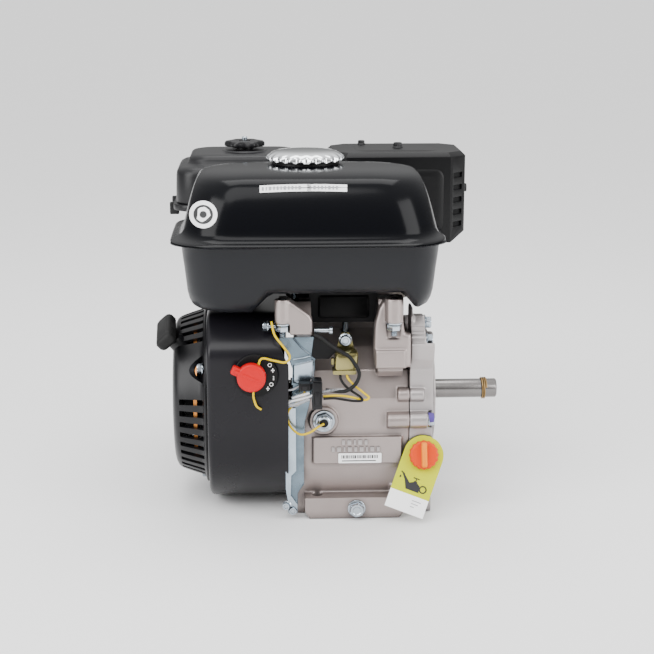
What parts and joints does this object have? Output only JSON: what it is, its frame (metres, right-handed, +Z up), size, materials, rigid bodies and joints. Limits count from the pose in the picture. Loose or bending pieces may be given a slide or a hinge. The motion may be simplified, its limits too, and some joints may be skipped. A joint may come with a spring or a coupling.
{
  "type": "small gasoline engine",
  "caption": "Air-cooled four-stroke petrol engine with a horizontal keyed drive shaft, fuel tank, recoil starter, muffler and air cleaner, for powering small machines.",
  "frame": {"origin": "on the base plane, directly below the crankshaft axis and midway between the base holes along the shaft", "axes": "+X along the crankshaft out of the drive side, +Y towards the cylinder head, +Z up"},
  "size_m": [0.3415, 0.3332, 0.352],
  "materials": {
    "cast_aluminium": "die cast, fine grain, satin",
    "zinc_plate": "bright zinc plated steel",
    "machined_steel": "ground steel with a light oil film",
    "chrome": "bright chrome",
    "gloss_black": "gloss black enamel",
    "satin_black": "satin black enamel",
    "black_plastic": "moulded, lightly textured",
    "cast_iron": "as cast",
    "black_rubber": "moulded rubber",
    "red_plastic": "moulded red",
    "orange_plastic": "moulded orange",
    "yellow_insulation": "cable insulation",
    "olive_plate": "yellow passivated cover",
    "filter_foam": "open cell foam",
    "tag_card": "coated card"
  },
  "bodies": {
    "root": {"crankcase": "cast_aluminium", "side_cover": "cast_aluminium", "side_cover_bolt_1": "zinc_plate", "side_cover_bolt_2": "zinc_plate", "drain_plug": "zinc_plate", "drive_bearing": "machined_steel", "flywheel_bearing": "machined_steel", "drive_seal": "black_rubber", "cylinder_head": "cast_aluminium", "head_cover": "zinc_plate", "spark_plug": "machined_steel", "spark_plug_cap": "black_rubber", "ignition_coil": "black_plastic", "ignition_lead": "black_rubber", "fan_cover": "satin_black", "recoil_cover": "black_plastic", "shroud_plate": "zinc_plate", "fuel_tank": "gloss_black", "tank_nut_left": "zinc_plate", "tank_nut_right": "zinc_plate", "air_cleaner_base": "black_plastic", "air_cleaner_cover": "black_plastic", "air_filter_element": "filter_foam", "intake_spacer": "black_plastic", "carburetor": "cast_aluminium", "intake_elbow": "black_plastic", "control_bracket": "zinc_plate", "muffler_guard": "satin_black", "muffler": "cast_iron", "switch_body": "black_plastic", "oil_tag": "tag_card", "oil_level_switch": "zinc_plate", "oil_alert_unit": "olive_plate", "wire_connector": "black_plastic", "switch_lead": "yellow_insulation", "oil_switch_lead": "yellow_insulation", "alert_lead": "yellow_insulation", "engine_lead": "black_rubber"},
    "crank": {"crankshaft": "machined_steel", "flywheel": "cast_iron", "cooling_fan": "black_plastic", "starter_cup": "zinc_plate", "flywheel_nut": "zinc_plate"},
    "cam": {"camshaft": "cast_iron"},
    "piston": {"piston": "cast_aluminium", "piston_pin": "machined_steel", "connecting_rod": "cast_aluminium"},
    "intake_valve": {"intake_valve": "machined_steel"},
    "exhaust_valve": {"exhaust_valve": "machined_steel"},
    "reel": {"starter_reel": "black_plastic"},
    "grip": {"starter_grip": "black_rubber", "starter_rope": "black_rubber"},
    "fuel_cap": {"fuel_cap": "chrome"},
    "oil_cap": {"oil_cap": "orange_plastic"},
    "ignition_switch": {"switch_knob": "red_plastic"},
    "throttle": {"throttle_lever": "zinc_plate"},
    "choke": {"choke_lever": "black_plastic"},
    "fuel_valve": {"fuel_valve_lever": "red_plastic"},
    "cleaner_knob": {"air_cleaner_knob": "black_plastic"},
    "governor": {"governor_arm": "zinc_plate"}
  },
  "joints": [
    {"name": "crank_spin", "type": "hinge", "parent": "root", "child": "crank", "pos_m": [0, 0, 0.106], "axis": [1, 0, 0], "continuous": true},
    {"name": "cam_spin", "type": "hinge", "parent": "root", "child": "cam", "pos_m": [0, 0.03, 0.054], "axis": [1, 0, 0], "continuous": true},
    {"name": "piston_slide", "type": "slide", "parent": "root", "child": "piston", "axis": [0, 0.9063, 0.4226], "range_m": [-0.054, 0], "deforming": ["connecting_rod"]},
    {"name": "intake_valve_lift", "type": "slide", "parent": "root", "child": "intake_valve", "axis": [0, -0.9063, -0.4226], "range_m": [0, 0.006], "stiffness_N_per_m": 4000},
    {"name": "exhaust_valve_lift", "type": "slide", "parent": "root", "child": "exhaust_valve", "axis": [0, -0.9063, -0.4226], "range_m": [0, 0.006], "stiffness_N_per_m": 4000},
    {"name": "starter_pull", "type": "slide", "parent": "root", "child": "grip", "axis": [-0.6816, -0.1203, 0.7217], "range_m": [0, 0.6], "stiffness_N_per_m": 12, "deforming": ["starter_rope"]},
    {"name": "reel_turn", "type": "hinge", "parent": "root", "child": "reel", "pos_m": [-0.16, 0, 0.106], "axis": [1, 0, 0], "range_deg": [-5, 700]},
    {"name": "fuel_cap_turn", "type": "hinge", "parent": "root", "child": "fuel_cap", "pos_m": [-0.047, -0.022, 0.345], "axis": [0, 0, 1], "range_deg": [0, 90]},
    {"name": "oil_cap_pull", "type": "slide", "parent": "root", "child": "oil_cap", "axis": [0, -0.9397, 0.3419], "range_m": [0, 0.075]},
    {"name": "switch_turn", "type": "hinge", "parent": "root", "child": "ignition_switch", "pos_m": [-0.1005, -0.115, 0.151], "axis": [0, -1, 0], "range_deg": [-60, 0]},
    {"name": "throttle_turn", "type": "hinge", "parent": "root", "child": "throttle", "pos_m": [-0.034, 0.062, 0.211], "axis": [0, 0, 1], "range_deg": [-20, 15]},
    {"name": "choke_turn", "type": "hinge", "parent": "root", "child": "choke", "pos_m": [-0.0826, 0.14139, 0.2], "axis": [0, 0, 1], "range_deg": [0, 30]},
    {"name": "fuel_valve_turn", "type": "hinge", "parent": "root", "child": "fuel_valve", "pos_m": [-0.0826, 0.18, 0.1385], "axis": [0, 1, 0], "range_deg": [0, 90]},
    {"name": "cleaner_knob_turn", "type": "hinge", "parent": "root", "child": "cleaner_knob", "pos_m": [-0.107, 0.14, 0.338], "axis": [0, 0, 1], "continuous": true},
    {"name": "governor_turn", "type": "hinge", "parent": "root", "child": "governor", "pos_m": [-0.008, -0.02, 0.19], "axis": [0, 0, 1], "range_deg": [-12, 12]}
  ],
  "couplings": [
    {"joint": "cam_spin", "follows": "crank_spin", "ratio": -0.5},
    {"joint": "reel_turn", "follows": "starter_pull", "rad_per_m": 20}
  ]
}
